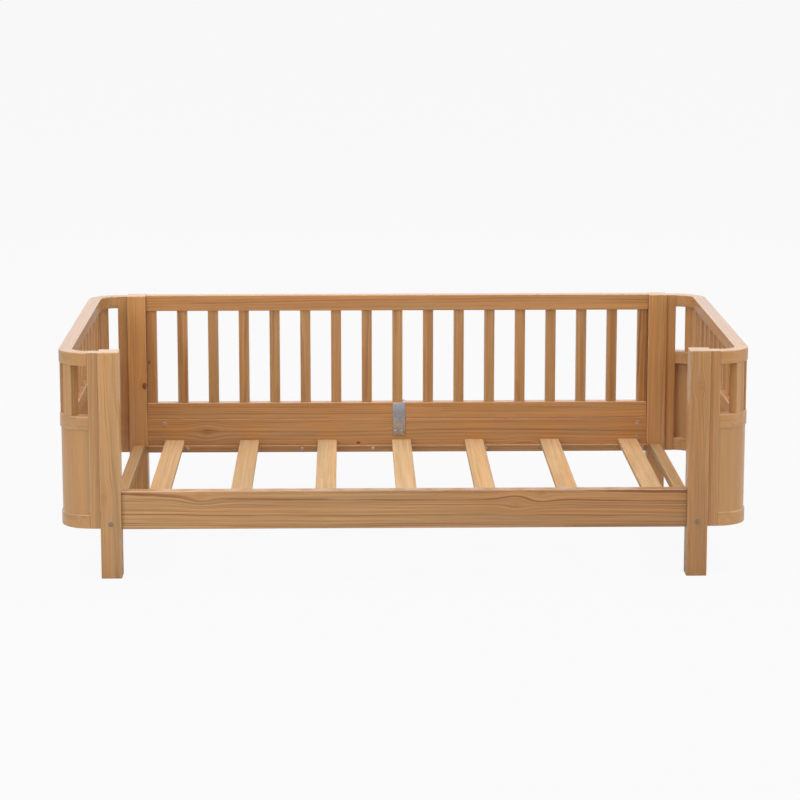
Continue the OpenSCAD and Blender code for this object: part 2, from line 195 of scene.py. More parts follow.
# The distance from the pith, made wavy and a little uneven, counts the years. Summer darkens each
# year slowly to a thin late-wood line, winter ends it, and some years are fainter than others.
def lateWood(tree, grain, waviness, ringWidth):
    moved = vector(tree, "ADD", scaled(tree, centred(tree, grain, "sway"), waviness),
                   scaled(tree, centred(tree, grain, "ripple"), rippleDepth))
    crossways = vector(tree, "MULTIPLY", vector(tree, "ADD", grain, moved), (0.0, 1.0, 1.0))
    fromPith = vector(tree, "LENGTH", crossways)
    uneven = noise(tree, fromPith, unevenYears["fineness"], 1.0, 0.5)
    years = plus(tree, calc(tree, "DIVIDE", fromPith, ringWidth), times(tree, uneven, unevenYears["amount"]))
    chance = put(tree, "ShaderNodeTexWhiteNoise", {"W": calc(tree, "FLOOR", years)}, noise_dimensions="1D")
    season = calc(tree, "FRACT", years)
    summer = spread(tree, season, 0.35, 0.9, 0.0, 1.0)
    winter = spread(tree, season, 0.92, 1.0, 1.0, 0.0)
    strong = spread(tree, chance.outputs["Value"], 0, 1, 0.3, 1.0, False)
    late = times(tree, times(tree, summer, winter), strong)
    return times(tree, late, spread(tree, laidNoise(tree, grain, "fade"), 0.3, 0.6, 0.35, 1.0))


# Sawn pine. Grain holds the place in the log: along it, and sideways and deep from the pith. Growth
# rings come first, and fibres, resin streaks, broad stains and knots lie over them.
def makePineFigure(knotBend):
    group, given, result = newGroup(
        "pineFigure",
        {"Grain": "Vector", "KnotA": "Vector", "KnotB": "Vector", "KnotC": "Vector", "Tone": "Vector",
         "Ring Width": "Float", "Waviness": "Float", "Contrast": "Float", "Early": "Color", "Late": "Color",
         "Stain": "Color", "Knot": "Color"},
        {"Color": "Color", "Height": "Float", "Roughness": "Float"})
    first = useGroup(group, knotBend, {"Grain": given["Grain"], "Knot": given["KnotA"]})
    second = useGroup(group, knotBend, {"Grain": first["Grain"], "Knot": given["KnotB"]})
    third = useGroup(group, knotBend, {"Grain": second["Grain"], "Knot": given["KnotC"]})
    grain = third["Grain"]
    late = lateWood(group, grain, given["Waviness"], given["Ring Width"])
    fibre, streak, cloud, pore, band = (laidNoise(group, grain, name)
                                        for name in ("fibre", "streak", "cloud", "pore", "band"))
    lightness, redness, figure = split(group, given["Tone"])

    strength = times(group, times(group, late, given["Contrast"]), figure, clamp=True)
    colour = blend(group, strength, given["Early"], given["Late"])
    stained = spread(group, cloud, 0.35, 0.75, 0.0, 0.45)
    stained = plus(group, stained, spread(group, band, 0.35, 0.65, -0.1, 0.3))
    stained = plus(group, stained, redness, clamp=True)
    colour = blend(group, stained, colour, darkened(group, colour, given["Stain"]))
    light = times(group, spread(group, streak, 0.25, 0.75, -0.14, 0.10), figure)
    light = plus(group, light, spread(group, fibre, 0.2, 0.8, 0.94, 1.06))
    light = plus(group, light, spread(group, band, 0.3, 0.7, -0.08, 0.08))
    light = times(group, light, lightness)
    shade = put(group, "ShaderNodeCombineColor", {0: light, 1: light, 2: light}).outputs[0]
    colour = darkened(group, colour, shade)

    knotMask = calc(group, "MAXIMUM", calc(group, "MAXIMUM", first["Mask"], second["Mask"]), third["Mask"])
    nearer = calc(group, "MINIMUM", first["Distance"], second["Distance"])
    nearest = calc(group, "MINIMUM", nearer, third["Distance"])
    waves = calc(group, "SINE", times(group, nearest, knotShape["rings"]))
    knotRing = spread(group, waves, -1.0, 1.0, 0.0, knotShape["ringTint"])
    colour = blend(group, knotMask, colour, blend(group, knotRing, given["Knot"], colour))
    halo = spread(group, nearest, *knotShape["halo"], knotShape["haloTint"], 0.0)
    colour = blend(group, halo, colour, darkened(group, colour, given["Stain"]))
    group.links.new(colour, result["Color"])

    height = plus(group, times(group, late, 0.5), times(group, fibre, 0.5))
    height = plus(group, height, times(group, pore, 0.35))
    height = plus(group, height, times(group, knotMask, -0.4))
    group.links.new(height, result["Height"])
    rough = plus(group, times(group, late, -0.08), times(group, cloud, 0.16))
    rough = plus(group, rough, times(group, pore, 0.08))
    group.links.new(rough, result["Roughness"])
    return group


# Rubbed edges and painted highlight: the finish is thin along the arrises, broken up by noise, and
# thinnest at corners, and the lighter colour there also stands in for the highlight the edges catch.
def makeEdgeWear():
    group, given, result = newGroup(
        "edgeWearAndHighlight",
        {"Color": "Color", "Place": "Vector", "Edge": "Float", "Worn": "Color", "Amount": "Float"},
        {"Color": "Color", "Mask": "Float"})
    patchy = noise(group, given["Place"], (35.0, 160.0, 160.0), 3.0, 0.6)
    nearEdge = spread(group, given["Edge"], 0.25, 1.0, 0.0, 1.0)
    mask = times(group, nearEdge, spread(group, patchy, 0.3, 0.65, 0.25, 1.0))
    mask = times(group, mask, given["Amount"], clamp=True)
    group.links.new(blend(group, mask, given["Color"], given["Worn"]), result["Color"])
    group.links.new(mask, result["Mask"])
    return group


# Zinc-plated steel: cloudy plating, fine rolling scratches and dull specks.
def makeZincFilm():
    group, given, result = newGroup(
        "zincFilm", {"Place": "Vector", "Bright": "Color", "Dull": "Color"},
        {"Color": "Color", "Roughness": "Float", "Height": "Float"})
    cloud = noise(group, given["Place"], (90.0, 90.0, 90.0), 3.0, 0.6)
    scratch = noise(group, given["Place"], (2200.0, 2200.0, 120.0), 2.0, 0.6)
    speck = noise(group, given["Place"], (900.0, 900.0, 900.0), 1.0, 0.5)
    dulled = spread(group, cloud, 0.3, 0.7, 0.0, 0.8)
    dulled = plus(group, dulled, spread(group, speck, 0.62, 0.7, 0.0, 0.4), clamp=True)
    group.links.new(blend(group, dulled, given["Bright"], given["Dull"]), result["Color"])
    rough = spread(group, cloud, 0.3, 0.7, 0.32, 0.5)
    rough = plus(group, rough, spread(group, scratch, 0.3, 0.7, -0.05, 0.08))
    group.links.new(rough, result["Roughness"])
    group.links.new(plus(group, scratch, times(group, speck, 0.5)), result["Height"])
    return group


pineFigure = makePineFigure(makeKnotBend())
edgeWearAndHighlight = makeEdgeWear()
zincFilm = makeZincFilm()

# Oiled pine, in linear colour. Every kind of board starts from these values.
oiledPine = {
    "early": (0.560, 0.316, 0.126, 1), "late": (0.325, 0.138, 0.042, 1), "stain": (0.95, 0.80, 0.64, 1),
    # The worn colour is partly worn finish and partly painted highlight along the edges.
    "knot": (0.150, 0.042, 0.014, 1), "worn": (0.66, 0.43, 0.25, 1),
    "ring": 0.0042, "wave": 0.014, "contrast": 0.8, "relief": 0.0005, "wear": 0.5, "wornRough": 0.15,
    "gloss": 0.40, "coat": 1.0, "coatRough": 0.24, "shine": 0.3,
}
coatSockets = {"coat": "Coat Weight", "coatRough": "Coat Roughness", "shine": "Specular IOR Level"}


def pineMaterial(name, **changes):
    look = {**oiledPine, **changes}
    material, tree, shader = newMaterial(name)
    read = {key: put(tree, "ShaderNodeAttribute", attribute_name=key).outputs
            for key in ("grain", "knotA", "knotB", "knotC", "tone", "edge")}
    place = read["grain"]["Vector"]
    figure = useGroup(tree, pineFigure, {
        "Grain": place, "KnotA": read["knotA"]["Vector"], "KnotB": read["knotB"]["Vector"],
        "KnotC": read["knotC"]["Vector"], "Tone": read["tone"]["Vector"], "Ring Width": look["ring"],
        "Waviness": look["wave"], "Contrast": look["contrast"], "Early": look["early"], "Late": look["late"],
        "Stain": look["stain"], "Knot": look["knot"]})
    # Lighter edges: partly worn finish, partly a painted highlight where the edges catch the light.
    worn = useGroup(tree, edgeWearAndHighlight, {"Color": figure["Color"], "Place": place, "Edge": read["edge"]["Fac"],
                                     "Worn": look["worn"], "Amount": look["wear"]})
    rough = plus(tree, figure["Roughness"], look["gloss"])
    rough = plus(tree, rough, times(tree, worn["Mask"], look["wornRough"]))
    bump = put(tree, "ShaderNodeBump",
               {"Height": figure["Height"], "Strength": 0.6, "Distance": look["relief"]})
    for key, socket in coatSockets.items():
        shader.inputs[socket].default_value = look[key]
    tree.links.new(worn["Color"], shader.inputs["Base Color"])
    tree.links.new(rough, shader.inputs["Roughness"])
    tree.links.new(bump.outputs[0], shader.inputs["Normal"])
    return material


def zincMaterial(name, bright, dull):
    material, tree, shader = newMaterial(name)
    place = put(tree, "ShaderNodeTexCoord").outputs["Object"]
    film = useGroup(tree, zincFilm, {"Place": place, "Bright": bright, "Dull": dull})
    bump = put(tree, "ShaderNodeBump", {"Height": film["Height"], "Strength": 0.4, "Distance": 0.0001})
    shader.inputs["Metallic"].default_value = 1.0
    tree.links.new(film["Color"], shader.inputs["Base Color"])
    tree.links.new(film["Roughness"], shader.inputs["Roughness"])
    tree.links.new(bump.outputs[0], shader.inputs["Normal"])
    return material


# Beech dowels: short flecks and faint lengthwise fibres along X, on the part's own coordinates.
def beechMaterial(name):
    material, tree, shader = newMaterial(name)
    place = put(tree, "ShaderNodeTexCoord").outputs["Object"]
    fleck = spread(tree, noise(tree, place, (160.0, 900.0, 900.0), 2.0, 0.6), 0.52, 0.66, 0.0, 0.7)
    fibre = noise(tree, place, (20.0, 1400.0, 1400.0), 2.0, 0.6)
    colour = blend(tree, fleck, (0.56, 0.36, 0.21, 1), (0.36, 0.19, 0.09, 1))
    colour = blend(tree, spread(tree, fibre, 0.3, 0.7, 0.0, 0.3), colour, (0.66, 0.47, 0.30, 1))
    bump = put(tree, "ShaderNodeBump", {"Height": fibre, "Strength": 0.4, "Distance": 0.0002})
    tree.links.new(colour, shader.inputs["Base Color"])
    tree.links.new(spread(tree, fibre, 0.3, 0.7, 0.5, 0.62), shader.inputs["Roughness"])
    tree.links.new(bump.outputs[0], shader.inputs["Normal"])
    return material


wood = {
    "pine_posts": pineMaterial("oiledPinePosts", ring=0.0034, contrast=0.55),
    "pine_rails": pineMaterial("oiledPineRails", ring=0.0042, contrast=1.0),
    "pine_slats": pineMaterial("oiledPineSlats", ring=0.0034, contrast=0.25, early=(0.565, 0.378, 0.205, 1),
                               gloss=0.6, coat=0.0, shine=0.15, wear=0.25),
    "pine_ends": pineMaterial("oiledPineEnds", ring=0.0040, contrast=0.5),
    "pine_guard": pineMaterial("oiledPineGuard", ring=0.0036, contrast=0.7),
}
zinc = zincMaterial("zincPlate", (0.58, 0.61, 0.67, 1), (0.40, 0.41, 0.45, 1))
warmZinc = zincMaterial("zincWarm", (0.78, 0.64, 0.52, 1), (0.50, 0.36, 0.27, 1))
boltZinc = zincMaterial("zincBolts", (0.40, 0.31, 0.27, 1), (0.22, 0.15, 0.12, 1))
darkZinc = zincMaterial("zincDark", (0.40, 0.36, 0.34, 1), (0.22, 0.19, 0.18, 1))
beech = beechMaterial("beechDowel")
print("materials made")


# The edge wear is partly painted highlight: a lighter colour along the rounded edges.
edgeHold = 0.0015  # the wear fades out this far from a rounded edge
leastRound = 0.15  # the share of its round that an edge keeps where it meets the end of a board


# Distances along a board, how far its section is drawn in there, and the wear and painted highlight.
# Each end is a flat cap, a quarter round of the given radius, and a line that holds the wear and
# highlight to the edge.
def stations(length, endRound, middle=0):
    turn = np.linspace(quarter, 0, 4)
    hold = min(edgeHold, endRound * 4)
    distance = np.concatenate([[0], endRound * (1 - np.sin(turn)), [endRound + hold]])
    inset = np.concatenate([[endRound + hold], endRound * (1 - np.cos(turn)), [0]])
    wear = np.array([0, 0.6, 1, 1, 0.6, 0])
    between = np.linspace(distance[-1], length - distance[-1], middle + 2)[1:-1]
    flat = np.zeros(middle)
    return (np.concatenate([distance, between, length - distance[::-1]]),
            np.concatenate([inset, flat, inset[::-1]]), np.concatenate([wear, flat, wear[::-1]]))


# A rectangle with rounded corners, once for each inset: its four corners are quarter circles, and
# a point on the flat beside each end of an arc holds the wear and painted highlight to the corner.
def section(width, depth, edgeRound, inset):
    inset = inset[:, None]
    radius = np.maximum(edgeRound - inset, edgeRound * leastRound)
    hold = min(edgeHold, edgeRound)
    turn = np.linspace(0, quarter, 5)
    overRun = np.array([1, 0, 0, 0, 0, 0, 0]) * hold
    cosine = np.concatenate([[1], np.cos(turn), [0]])
    sine = np.concatenate([[0], np.sin(turn), [1]])
    across = width / 2 - inset - radius * (1 - cosine) - overRun[::-1]
    deep = depth / 2 - inset - radius * (1 - sine) - overRun
    wear = np.array([0, 0.55, 0.9, 1, 0.9, 0.55, 0])
    back = slice(None, None, -1)
    return (np.hstack([across, -across[:, back], -across, across[:, back]]),
            np.hstack([deep, deep[:, back], -deep, -deep[:, back]]), np.tile(wear, 4))


# Faces between the rows of a grid that closes on itself, with a face over each end.
def tubeFaces(rows, columns):
    start = np.arange(rows * columns).reshape(rows, columns)
    turned = np.roll(start, -1, axis=1)
    quads = np.stack([start[:-1], turned[:-1], turned[1:], start[1:]], axis=-1).reshape(-1, 4)
    return quads.tolist() + [start[0, ::-1].tolist(), start[-1].tolist()]


# Six times the volume inside a closed grid of points: it is negative where the faces point inwards.
def volume(points):
    middle = points.reshape(-1, 3).mean(0)
    a, b = points[:-1] - middle, np.roll(points, -1, axis=1)[:-1] - middle
    d, c = points[1:] - middle, np.roll(points, -1, axis=1)[1:] - middle
    return (np.cross(b, c) * a).sum() + (np.cross(c, d) * a).sum()


# A closed shell from a grid of points, with its faces outward, and any values its points carry.
def closedShell(points, **values):
    faces = tubeFaces(*points.shape[:2])
    if volume(points) < 0:
        faces = [face[::-1] for face in faces]
    return {"points": points.reshape(-1, 3), "faces": faces, **values}


rng = np.random.default_rng(47)
boardLook = {"edgeRound": 0.002, "endRound": 0.0004, "width": 0.05, "pithDepth": 0.06, "askew": 0.02,
             "light": 1.0, "spread": 0.03, "red": 0.15, "redSpread": 0.15}
log = {"length": 60, "pithAside": 1.6, "pithDeep": (0.6, 1.4), "sideSlope": 0.5,
       "noKnot": -9}  # a knot that a board doesn't have is put this far along


# One closed board from its grid of points. The log's axes turn each point into a place in the log:
# the pith lies some way off the board's middle, and the board runs a little askew to it. A drift
# changes lightness and redness towards the board's far end; on the posts it is painted shade, and on
# the rails it is partly painted shade and partly the board's own tone.
def closeBoard(points, wear, centre, axes, look, character):
    pithSide, pithDeep = rng.uniform(-1, 1) * log["pithAside"], rng.uniform(*log["pithDeep"])
    facing, askew = rng.choice([-1, 1]), rng.uniform(-1, 1)
    seed, chance, redness = rng.uniform(0, log["length"]), rng.normal(0, 1), rng.uniform(-1, 1)
    character = character or {}
    pith = character.get("pith", (pithSide * look["width"], facing * pithDeep * look["pithDepth"]))
    slope = character.get("askew", askew * look["askew"])
    sideSlope = slope * log["sideSlope"]
    place = (points - centre) @ np.array(axes).T
    grain = np.stack([place[..., 0] + seed, place[..., 1] - pith[0] + sideSlope * place[..., 0],
                      place[..., 2] - pith[1] + slope * place[..., 0]], axis=-1).reshape(-1, 3)
    tone = np.array([character.get("light", look["light"]) + look["spread"] * chance,
                     character.get("red", look["red"] + look["redSpread"] * redness),
                     character.get("figure", 1.0)])
    drift = np.array([*character.get("drift", (0.0, 0.0)), 0.0])
    alongBoard = place[..., 0].reshape(-1, 1) / place[..., 0].max()
    knots = [(along + seed, across - pith[0] + sideSlope * along, radius)
             for along, across, radius in character.get("knots", ())]
    knots += [(seed + log["noKnot"], 0, 0)] * (3 - len(knots))
    knotA, knotB, knotC = (np.tile(knot, (len(grain), 1)) for knot in knots)
    return closedShell(points, grain=grain, edge=wear.reshape(-1), tone=tone + alongBoard * drift,
                       knotA=knotA, knotB=knotB, knotC=knotC)


# A straight board: the rounded section carried along a line. Axes are along, across and deep.
def board(centre, axes, size, look, character=None):
    distance, inset, endWearAndHighlight = stations(size[0], look["endRound"])
    across, deep, sideWearAndHighlight = section(size[1], size[2], look["edgeRound"], inset)
    line = centre + (distance - size[0] / 2)[:, None] * axes[0]
    points = line[:, None] + across[..., None] * axes[1] + deep[..., None] * axes[2]
    return closeBoard(points, np.maximum(endWearAndHighlight[:, None], sideWearAndHighlight), centre, axes, look, character)


# A board that fills a box, with its grain along one axis and its wider side across.
def boxBoard(low, high, along, look, character=None):
    size = high - low
    others = sorted((axis for axis in range(3) if axis != along), key=lambda axis: -size[axis])
    order = [along] + others
    return board((low + high) / 2, np.eye(3)[order], size[order], look, character)


# A sawn or bent length round a corner: the section carried along an arc about a standing line.
# Signs turn the same arc to each of the four corners, and the grain is straight in each length.
def bend(centre, signs, radius, angles, height, depth, look, upright, character=None):
    turn = radius * (angles[1] - angles[0])
    distance, inset, endWearAndHighlight = stations(turn, look["endRound"], middle=7)
    across, deep, sideWearAndHighlight = section(height, depth, look["edgeRound"], inset)
    angle = angles[0] + distance / radius
    outward = np.stack([signs[0] * np.cos(angle), signs[1] * np.sin(angle), 0 * angle], axis=-1)
    points = centre + (radius + deep[..., None]) * outward[:, None] + across[..., None] * up
    middle = (angles[0] + angles[1]) / 2
    out = np.array([signs[0] * math.cos(middle), signs[1] * math.sin(middle), 0])
    chord = np.array([-signs[0] * math.sin(middle), signs[1] * math.cos(middle), 0])
    axes = [up, chord, out] if upright else [chord, up, out]
    wear = np.maximum(endWearAndHighlight[:, None], sideWearAndHighlight)
    return closeBoard(points, wear, centre + radius * out, axes, look, character)


def makeMesh(name, shells, material):
    starts = np.cumsum([0] + [len(shell["points"]) for shell in shells])
    faces = [[index + start for index in face]
             for shell, start in zip(shells, starts) for face in shell["faces"]]
    mesh = bpy.data.meshes.new(name)
    mesh.from_pydata(np.concatenate([shell["points"] for shell in shells]).tolist(), [], faces)
    for key in ("grain", "tone", "knotA", "knotB", "knotC", "edge"):
        if key in shells[0]:
            kind, field = ("FLOAT", "value") if key == "edge" else ("FLOAT_VECTOR", "vector")
            values = np.concatenate([shell[key] for shell in shells]).astype(np.float32)
            mesh.attributes.new(key, kind, "POINT").data.foreach_set(field, values.ravel())
    mesh.shade_smooth()
    mesh.materials.append(material)
    piece = bpy.data.objects.new(name, mesh)
    bpy.context.scene.collection.objects.link(piece)
    return piece


# Names a piece after the part it stands for, in camelCase.
def finishPiece(node, shells, slot, material=None):
    words = node.split("_")
    name = words[0] + "".join(word.capitalize() for word in words[1:])
    piece = makeMesh(name, shells, material or wood[slot])
    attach(piece, "root")
    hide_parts(node)


# Posts: square, with a small round on every edge and at both ends.
postLook = {**boardLook, "width": 0.047, "pithDepth": 0.05, "endRound": 0.002}
# Each front post's drift is painted shade: the post is darker towards the floor, the right one also redder.
posts = {
    "front_left_post": {"light": 1.06, "red": 0.0, "drift": (0.13, 0.0), "pith": (0.03, 0.075),
                        "askew": 0.012, "knots": [(-0.074, -0.016, -0.0070), (0.247, -0.004, -0.0050)]},
    "front_right_post": {"light": 0.92, "red": 0.4, "drift": (0.07, -0.3), "pith": (-0.03, 0.05),
                         "askew": -0.02, "knots": [(0.186, 0.001, -0.0055), (0.176, 0.002, -0.0042)]},
    "back_left_post": {"light": 1.20, "red": 0.35, "pith": (-0.045, 0.05), "askew": 0.01,
                       "knots": [(0.028, 0.018, 0.0068)]},
    "back_right_post": {"light": 1.11, "red": 0.4, "pith": (0.05, 0.05), "askew": -0.01},
}
for node, character in posts.items():
    finishPiece(node, [boxBoard(*corners(node), alongZ, postLook, character)], "pine_posts")

# Side rails, and the ledgers that carry the slats.
railLook = {**boardLook, "width": 0.088, "pithDepth": 0.07, "askew": 0.012, "endRound": 0.0005}
# The rails' drift is partly painted shade and partly the board's own tone: the front and back rails darken
# and redden towards the right.
rails = {
    "front_rail": {"light": 1.0, "red": 0.15, "drift": (-0.07, 0.3), "pith": (0.062, 0.055), "askew": 0.006,
                   "figure": 1.5,
                   "knots": [(0.254, 0.012, -0.0085), (0.309, 0.037, -0.0080), (-0.464, 0.036, -0.0100)]},
    "back_rail": {"light": 1.05, "red": 0.55, "drift": (-0.04, 0.1), "pith": (-0.07, 0.05), "askew": -0.006,
                  "figure": 1.1,
                  "knots": [(-0.101, -0.020, 0.0036), (-0.49, 0.01, -0.009), (0.33, -0.03, -0.008)]},
    "front_ledger": {"light": 0.9},
    "back_ledger": {"light": 0.84, "red": 0.6},
}
for node, character in rails.items():
    finishPiece(node, [boxBoard(*corners(node), alongX, railLook, character)], "pine_rails")

# Slats, and the darker battens at both ends of the bay.
slatCount = 7
slatLook = {**boardLook, "width": 0.049, "pithDepth": 0.09, "light": 1.12, "red": 0.0, "spread": 0.02}
battenLook = {**slatLook, "light": 0.9, "red": 0.35}
for number in range(slatCount):
    node = f"slat_{number + 1}"
    finishPiece(node, [boxBoard(*corners(node), alongY, slatLook)], "pine_slats")
for node in ("left_batten", "right_batten"):
    finishPiece(node, [boxBoard(*corners(node), alongY, battenLook)], "pine_slats")
print("posts, rails and slats made")

# Back guard: two rails with slips of wood standing between them, the first and last against the posts.
guardLook = {**boardLook, "width": 0.04, "askew": 0.015, "spread": 0.035}
slipLook = {**guardLook, "width": 0.026}
guard = {
    "balusters": 15,
    "rails": {"guard_top_rail": {"light": 1.06, "red": 0.42, "pith": (0.05, 0.06)},
              "guard_bottom_rail": {"light": 1.11, "red": 0.52, "pith": (-0.05, 0.05)}},
    "leftSlip": {"light": 0.93, "red": 0.3, "knots": [(-0.014, -0.0073, 0.0026)]},
    "rightSlip": {"light": 0.97, "red": 0.4, "figure": 1.5},
    "slipRed": (0.35, 0.1, 0.1),
}
for node, character in guard["rails"].items():
    finishPiece(node, [boxBoard(*corners(node), alongX, guardLook, character)], "pine_guard")
stilesLow, stilesHigh = corners("guard_stiles")
slipsLow, slipsHigh = corners("guard_balusters")
slipStep = slipsLow[0] - stilesLow[0]
slipWidth = stilesHigh[0] - stilesLow[0] - (guard["balusters"] + 1) * slipStep
slipFoot = corners("guard_bottom_rail")[1][2]
slipHead = corners("guard_top_rail")[0][2]


def guardSlip(index, character):
    left = stilesLow[0] + index * slipStep
    low = np.array([left, slipsLow[1], slipFoot])
    high = np.array([left + slipWidth, slipsHigh[1], slipHead])
    return boxBoard(low, high, alongZ, slipLook, character)


endSlips = [guardSlip(0, guard["leftSlip"]), guardSlip(guard["balusters"] + 1, guard["rightSlip"])]
finishPiece("guard_stiles", endSlips, "pine_guard")
slips = [guardSlip(number, {"red": guard["slipRed"][number % 3]})
         for number in range(1, guard["balusters"] + 1)]
finishPiece("guard_balusters", slips, "pine_guard")
print("back guard made")

# End units: rails round the corners in sawn lengths, coopered panels below and staves above.
endLook = {**boardLook, "width": 0.032, "askew": 0.03, "spread": 0.035}
stripLook = {**endLook, "width": 0.06, "edgeRound": 0.0008, "askew": 0.01, "spread": 0.02}
ends = {
    "railTone": {"left": {"light": 1.0, "red": 0.15}, "right": {"light": 1.04, "red": 0.15}},
    "stileTone": {"left": {"light": 1.07, "red": 0.15}, "right": {"light": 1.02, "red": 0.45}},
    "bentFigure": 0.6, "panelFigure": 0.22,
    "staveRed": (0.25, 0.45), "cornerStave": {"light": 1.05, "red": 0.1},
    "cornerSplits": (0.0, 23.0, 67.0, 90.0),  # degrees, where a corner's sawn lengths meet
    "sideStaves": 10, "staveWidth": 0.026, "staveTurn": 45.0,
    "panelStrips": 12, "cornerStrips": 3,
    "stileKnots": {"left_back_stile": ((-0.116, -0.0155, -0.0130), (-0.150, -0.0150, -0.0060))},
}
flip = {"left": -1, "right": 1, "front": -1, "back": 1}


# The signs that turn an arc to this corner, the corner's centre and its outer radius.
def cornerPlace(node):
    side, row = (flip[word] for word in node.split("_")[:2])
    low, high = corners(node)
    outer = np.array([max(abs(low[0]), abs(high[0])), max(abs(low[1]), abs(high[1]))])
    radius = high[0] - low[0]
    centre = np.array([side * (outer[0] - radius), row * (outer[1] - radius), (low[2] + high[2]) / 2])
    return (side, row), centre, radius


def endUnit(side):
    tone = ends["railTone"][side]
    for row in ("front", "back"):
        node = f"{side}_{row}_stile"
        stile = {**ends["stileTone"][side], "knots": ends["stileKnots"].get(node, ())}
        finishPiece(node, [boxBoard(*corners(node), alongZ, endLook, stile)], "pine_ends")
    stileLow, stileHigh = corners(f"{side}_front_stile")
    thickness = stileHigh[1] - stileLow[1]
    splits = np.radians(ends["cornerSplits"])
    for level in ("top", "mid", "low"):
        node = f"{side}_{level}_rail"
        finishPiece(node, [boxBoard(*corners(node), alongY, endLook, tone)], "pine_ends")
        for row in ("front", "back"):
            node = f"{side}_{row}_{level}_corner"
            signs, centre, radius = cornerPlace(node)
            low, high = corners(node)
            lengths = [bend(centre, signs, radius - thickness / 2, pair, high[2] - low[2], thickness, endLook,
                            False, {**tone, "figure": ends["bentFigure"]})
                       for pair in zip(splits[:-1], splits[1:])]
            finishPiece(node, lengths, "pine_ends")
    endStaves(side)
    endPanels(side, tone)


# Staves stand between the upper and the middle rail, along the side and one in each corner.
def endStaves(side):
    low, high = corners(f"{side}_side_staves")
    foot, head = corners(f"{side}_mid_rail")[1][2], corners(f"{side}_top_rail")[0][2]
    count, width = ends["sideStaves"], ends["staveWidth"]
    step = (high[1] - low[1] - width) / (count - 1)
    staves = []
    for number in range(count):
        front = low[1] + number * step
        staves.append(boxBoard(np.array([low[0], front, foot]), np.array([high[0], front + width, head]),
                               alongZ, endLook, {"red": ends["staveRed"][number % 2]}))
    finishPiece(f"{side}_side_staves", staves, "pine_ends")
    turn = math.radians(ends["staveTurn"])
    cornerStaves = []
    for row in ("front", "back"):
        signs, centre, _ = cornerPlace(f"{side}_{row}_mid_corner")
        out = np.array([signs[0] * math.cos(turn), signs[1] * math.sin(turn), 0])
        reach = (abs(low[0]) + abs(high[0])) / 2 - abs(centre[0])
        middle = np.array([centre[0], centre[1], (foot + head) / 2]) + reach * out
        axes = np.array([up, [-out[1], out[0], 0], out])
        size = (head - foot, width, high[0] - low[0])
        cornerStaves.append(board(middle, axes, size, endLook, ends["cornerStave"]))
    finishPiece(f"{side}_corner_staves", cornerStaves, "pine_ends")


# Panels are coopered from upright strips, each with its own figure.
def endPanels(side, tone):
    low, high = corners(f"{side}_side_panel")
    tone = {**tone, "figure": ends["panelFigure"]}
    edges = np.linspace(low[1], high[1], ends["panelStrips"] + 1)
    strips = [boxBoard(np.array([low[0], start, low[2]]), np.array([high[0], stop, high[2]]), alongZ,
                       stripLook, tone) for start, stop in zip(edges[:-1], edges[1:])]
    finishPiece(f"{side}_side_panel", strips, "pine_ends")
    thickness = high[0] - low[0]
    turns = np.linspace(0, quarter, ends["cornerStrips"] + 1)
    strips = []
    for row in ("front", "back"):
        signs, centre, _ = cornerPlace(f"{side}_{row}_low_corner")
        centre = np.array([centre[0], centre[1], (low[2] + high[2]) / 2])
        reach = max(abs(low[0]), abs(high[0])) - abs(centre[0]) - thickness / 2
        strips += [bend(centre, signs, reach, pair, high[2] - low[2], thickness, stripLook, True, tone)
                   for pair in zip(turns[:-1], turns[1:])]
    finishPiece(f"{side}_corner_panels", strips, "pine_ends")


for side in ("left", "right"):
    endUnit(side)
print("end units made")


# Outlines of a key's recess as a distance from the middle for each angle.
def hexagon(angle, across):
    sixth = math.pi / 3
    return across / 2 / np.cos((angle + sixth / 2) % sixth - sixth / 2)


def slotted(angle, length, width):
    sine, cosine = np.maximum(abs(np.sin(angle)), 1e-6), np.maximum(abs(np.cos(angle)), 1e-6)
    return np.minimum(length / 2 / cosine, width / 2 / sine)


def crossed(angle, length, width):
    return np.maximum(slotted(angle, length, width), slotted(angle + quarter, length, width))


# A fastener: rings about an axis. From the tip: the shank, the underside of the head, its side, a
# quarter-round rim, the crown, and then the recess, whose rings follow the key's outline.
fastenerShape = {"tipRadius": 0.0003, "tipLong": 0.0006, "crownAt": 0.5, "crownLow": 0.3, "lip": 1.06,
                 "lipDeep": 0.0001, "taper": 0.92, "dishAcross": 0.1, "dishDeep": 1.15}


def fastener(place, direction, fit, outline):
    turns, shape = fit["turns"], fastenerShape
    angle = np.arange(turns) * 2 * math.pi / turns
    radius, high, rounding, crown = fit["headRadius"], fit["headHigh"], fit["rim"], fit["crown"]
    recess = outline(angle)
    ring = np.ones(turns)
    rows = [(ring * shape["tipRadius"], -fit["shankLong"]),
            (ring * fit["shankRadius"], -fit["shankLong"] + shape["tipLong"]),
            (ring * fit["shankRadius"], -fit["headDeep"]),
            (ring * radius, -fit["headDeep"])]
    rows += [(ring * (radius - rounding * (1 - math.cos(turn))),
              high - rounding * (1 - math.sin(turn)) - crown) for turn in np.linspace(0, quarter, 5)]
    rows += [((radius - rounding) * (1 - shape["crownAt"]) * ring + recess * shape["crownAt"],
              high - crown * shape["crownLow"]),
             (recess * shape["lip"], high),
             (recess, high - shape["lipDeep"]),
             (recess * shape["taper"], high - fit["recessDeep"]),
             (recess * shape["dishAcross"], high - fit["recessDeep"] * shape["dishDeep"])]
    distance = np.array([row[0] for row in rows])
    level = np.array([row[1] for row in rows])[:, None, None]
    direction = np.array(direction, float)
    side = up if abs(direction[2]) < 0.5 else np.array([1.0, 0, 0])
    other = np.cross(direction, side)
    points = (np.array(place) + level * direction + (distance * np.cos(angle))[..., None] * side
              + (distance * np.sin(angle))[..., None] * other)
    return closedShell(points)


